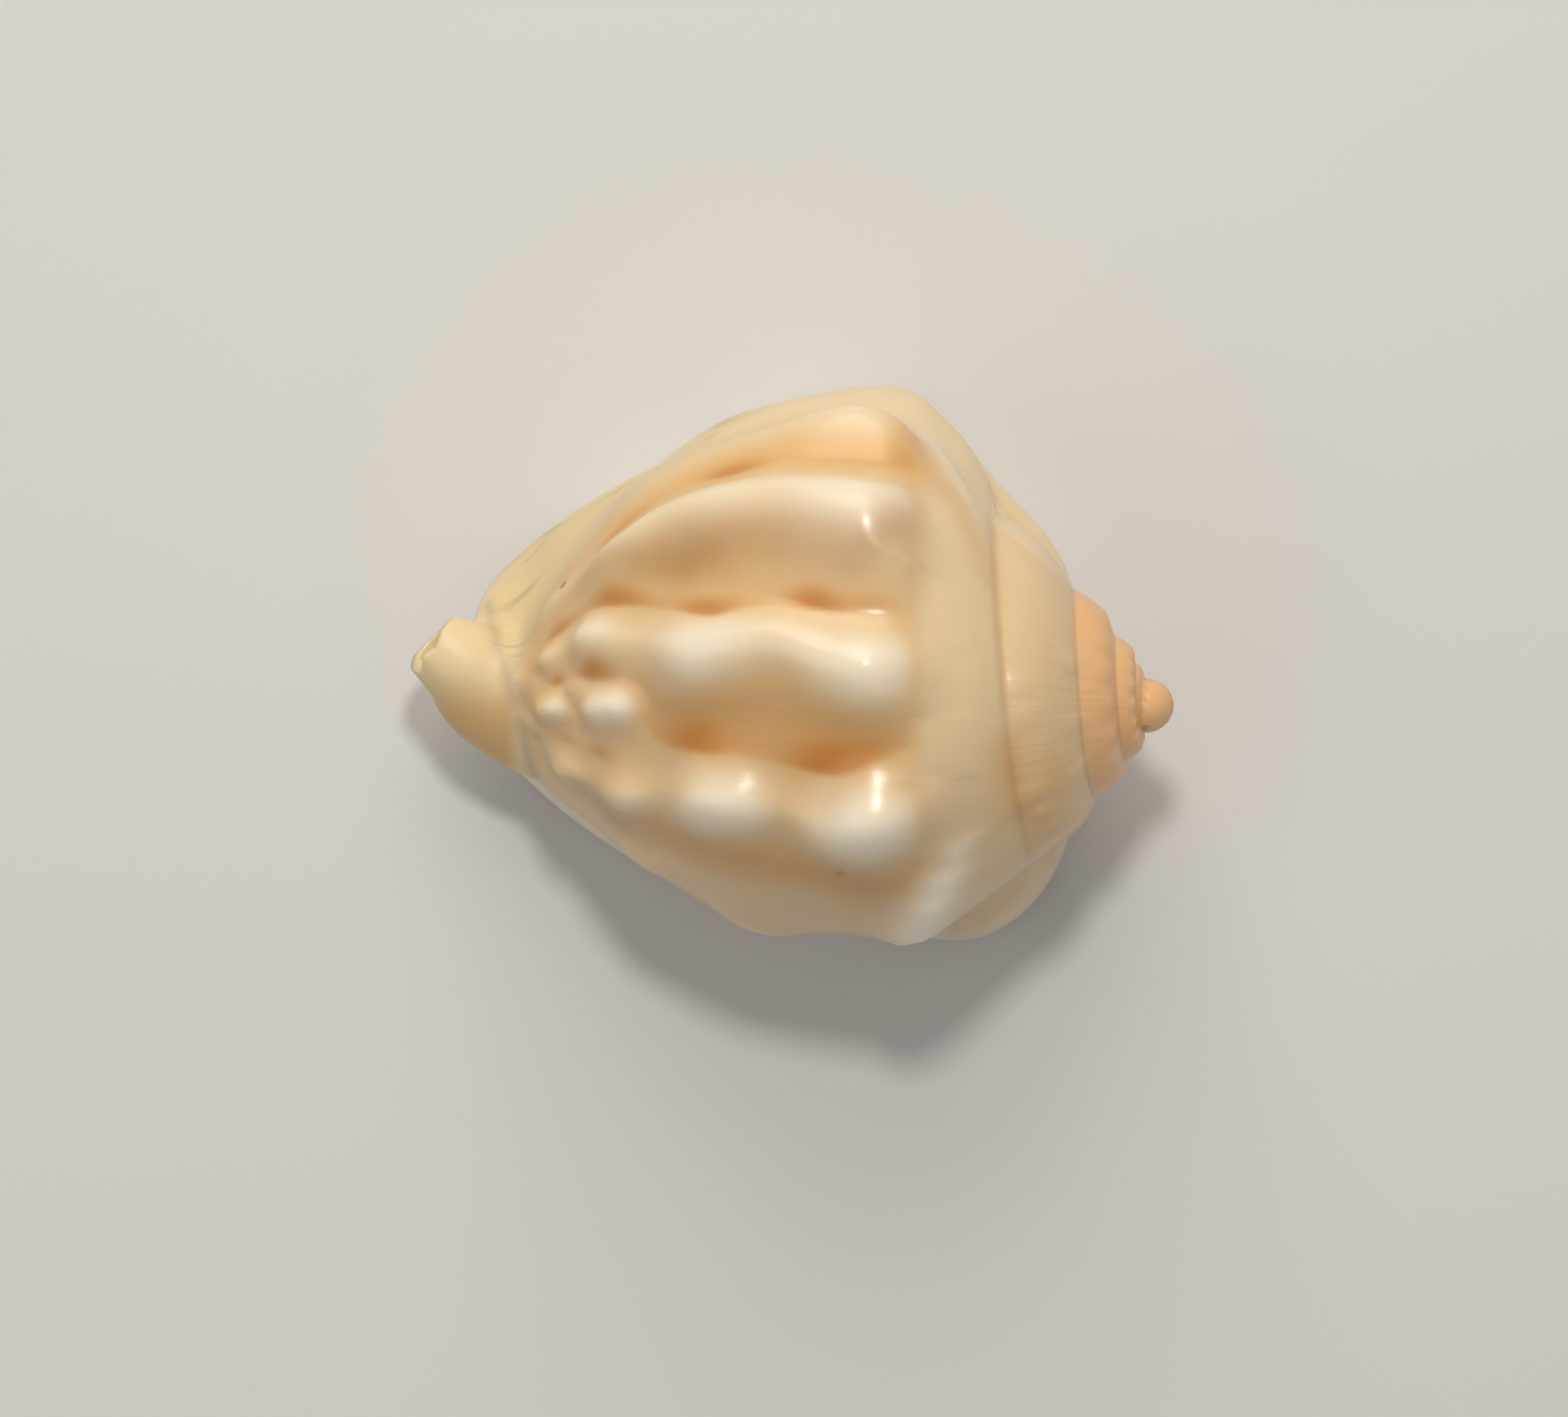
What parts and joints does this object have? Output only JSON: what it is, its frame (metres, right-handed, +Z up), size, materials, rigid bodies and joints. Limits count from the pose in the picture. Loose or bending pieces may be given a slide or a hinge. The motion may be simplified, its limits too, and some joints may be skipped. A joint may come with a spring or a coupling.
{
  "type": "helmet shell",
  "caption": "Knobbed helmet sea shell lying on its aperture, with a low spire, a thick outer lip, a broad shield and a short canal; a display or dressing object.",
  "frame": {"origin": "middle of the shell's footprint box, on the plane it rests on", "axes": "+X towards the spire, -X towards the canal, +Y towards the outer lip, +Z up through the back"},
  "size_m": [0.052, 0.0385, 0.0316],
  "materials": {
    "shell": "glossy"
  },
  "bodies": {
    "root": {"shell": "shell"}
  },
  "joints": []
}
